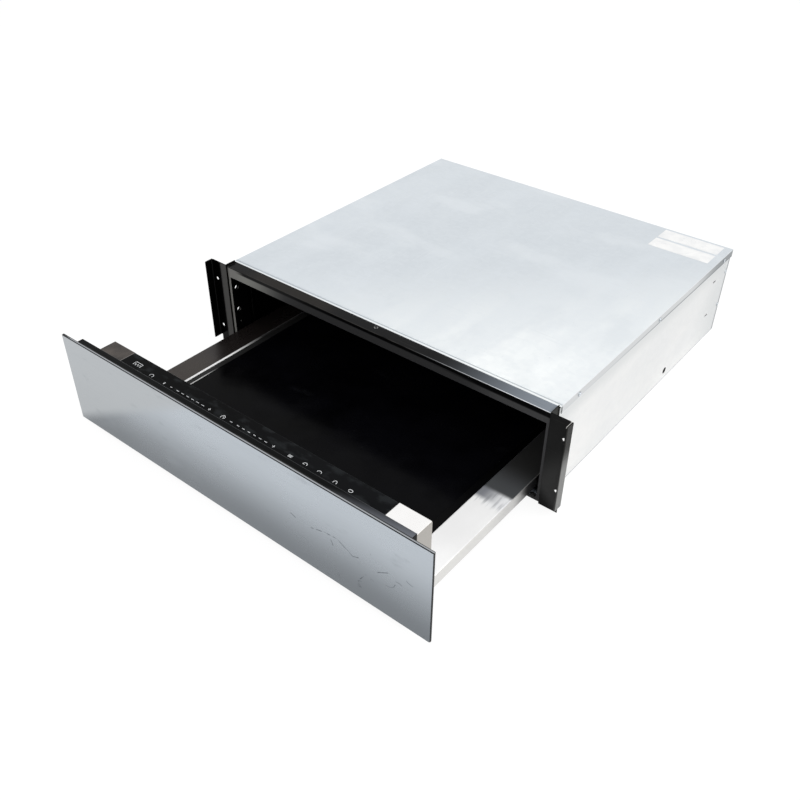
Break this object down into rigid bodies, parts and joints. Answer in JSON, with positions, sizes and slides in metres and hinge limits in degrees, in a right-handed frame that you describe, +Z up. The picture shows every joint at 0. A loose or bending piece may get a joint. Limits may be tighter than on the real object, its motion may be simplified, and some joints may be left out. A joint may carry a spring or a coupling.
{
  "type": "built-in warming drawer",
  "caption": "Built-in warming drawer: steel housing with side fixing flanges, telescopic runners, and a drawer with a glass heating base, touch controls and a plain brushed front.",
  "frame": {"origin": "on the resting plane, in the middle of the frame's front face, at the front edge of the base", "axes": "+X to the right seen from the front, +Y backwards into the cabinet, +Z up"},
  "size_m": [0.602, 0.785, 0.1417],
  "materials": {
    "galvanised_steel": "spangled zinc coat, matt to satin",
    "black_enamel": "gloss black paint",
    "brushed_stainless": "fine brushed, satin",
    "panel_board": "matt black board behind the front skin",
    "black_glass": "opaque black glass, polished",
    "black_trim": "satin black strip",
    "rubber": "matt black rubber",
    "zinc_rail": "bright zinc plate",
    "cage_plastic": "moulded, matt",
    "ball_steel": "polished",
    "circuit_board": "green lacquered board",
    "white_plastic": "moulded, matt",
    "black_plastic": "moulded, fine grain",
    "mineral_wool": "felted mineral fibre",
    "heater_silicone": "moulded silicone sheet",
    "sensor_metal": "turned, bare",
    "screw_steel": "bright zinc-plated steel",
    "label_film": "blank white film"
  },
  "bodies": {
    "housing": {"bottom_plate": "galvanised_steel", "left_side_wall": "galvanised_steel", "right_side_wall": "galvanised_steel", "rear_panel": "galvanised_steel", "top_cover": "galvanised_steel", "blank_labels": "label_film", "front_frame": "black_enamel", "left_mounting_flange": "black_enamel", "right_mounting_flange": "black_enamel", "frame_buffers": "rubber", "left_runner_bracket": "galvanised_steel", "right_runner_bracket": "galvanised_steel", "left_runner_fixed_member": "zinc_rail", "right_runner_fixed_member": "zinc_rail", "latch_body": "black_plastic", "terminal_block": "white_plastic", "cable_gland": "black_plastic", "gland_nut": "black_plastic", "cover_screws": "screw_steel", "rear_screws": "screw_steel", "frame_screw": "screw_steel", "bracket_screws": "screw_steel"},
    "drawer": {"front_panel": "brushed_stainless", "panel_backing": "panel_board", "front_carrier": "black_enamel", "front_insulation": "mineral_wool", "left_front_post": "brushed_stainless", "right_front_post": "brushed_stainless", "control_housing": "black_enamel", "control_glass": "black_glass", "touch_board": "circuit_board", "power_board": "circuit_board", "board_standoffs": "white_plastic", "left_ledge": "brushed_stainless", "right_ledge": "brushed_stainless", "tray_pan": "galvanised_steel", "glass_base": "black_glass", "left_glass_trim": "black_trim", "right_glass_trim": "black_trim", "tray_back_wall": "brushed_stainless", "heating_mat": "heater_silicone", "insulation_pad": "mineral_wool", "thermal_cutout": "sensor_metal", "temperature_sensor": "sensor_metal", "drawer_connector": "white_plastic", "left_runner_drawer_member": "zinc_rail", "right_runner_drawer_member": "zinc_rail", "ledge_rivets": "screw_steel"},
    "latch_pin": {"latch_plunger": "black_plastic"},
    "left_middle_runner": {"left_runner_middle_member": "zinc_rail"},
    "left_outer_race": {"left_outer_ball_cage": "cage_plastic", "left_outer_balls": "ball_steel"},
    "left_inner_race": {"left_inner_ball_cage": "cage_plastic", "left_inner_balls": "ball_steel"},
    "right_middle_runner": {"right_runner_middle_member": "zinc_rail"},
    "right_outer_race": {"right_outer_ball_cage": "cage_plastic", "right_outer_balls": "ball_steel"},
    "right_inner_race": {"right_inner_ball_cage": "cage_plastic", "right_inner_balls": "ball_steel"}
  },
  "joints": [
    {"name": "drawer_slide", "type": "slide", "parent": "housing", "child": "drawer", "axis": [0, -1, 0], "range_m": [-0.237, 0.19]},
    {"name": "left_middle_runner_slide", "type": "slide", "parent": "housing", "child": "left_middle_runner", "axis": [0, -1, 0], "range_m": [-0.1185, 0.095]},
    {"name": "left_outer_race_slide", "type": "slide", "parent": "housing", "child": "left_outer_race", "axis": [0, -1, 0], "range_m": [-0.05925, 0.0475]},
    {"name": "left_inner_race_slide", "type": "slide", "parent": "housing", "child": "left_inner_race", "axis": [0, -1, 0], "range_m": [-0.17775, 0.1425]},
    {"name": "right_middle_runner_slide", "type": "slide", "parent": "housing", "child": "right_middle_runner", "axis": [0, -1, 0], "range_m": [-0.1185, 0.095]},
    {"name": "right_outer_race_slide", "type": "slide", "parent": "housing", "child": "right_outer_race", "axis": [0, -1, 0], "range_m": [-0.05925, 0.0475]},
    {"name": "right_inner_race_slide", "type": "slide", "parent": "housing", "child": "right_inner_race", "axis": [0, -1, 0], "range_m": [-0.17775, 0.1425]},
    {"name": "latch_press", "type": "slide", "parent": "housing", "child": "latch_pin", "axis": [0, 1, 0], "range_m": [0, 0.006], "stiffness_N_per_m": 300, "springref_m": -0.005}
  ],
  "couplings": [
    {"joint": "left_middle_runner_slide", "follows": "drawer_slide", "ratio": 0.5},
    {"joint": "left_outer_race_slide", "follows": "drawer_slide", "ratio": 0.25},
    {"joint": "left_inner_race_slide", "follows": "drawer_slide", "ratio": 0.75},
    {"joint": "right_middle_runner_slide", "follows": "drawer_slide", "ratio": 0.5},
    {"joint": "right_outer_race_slide", "follows": "drawer_slide", "ratio": 0.25},
    {"joint": "right_inner_race_slide", "follows": "drawer_slide", "ratio": 0.75}
  ]
}
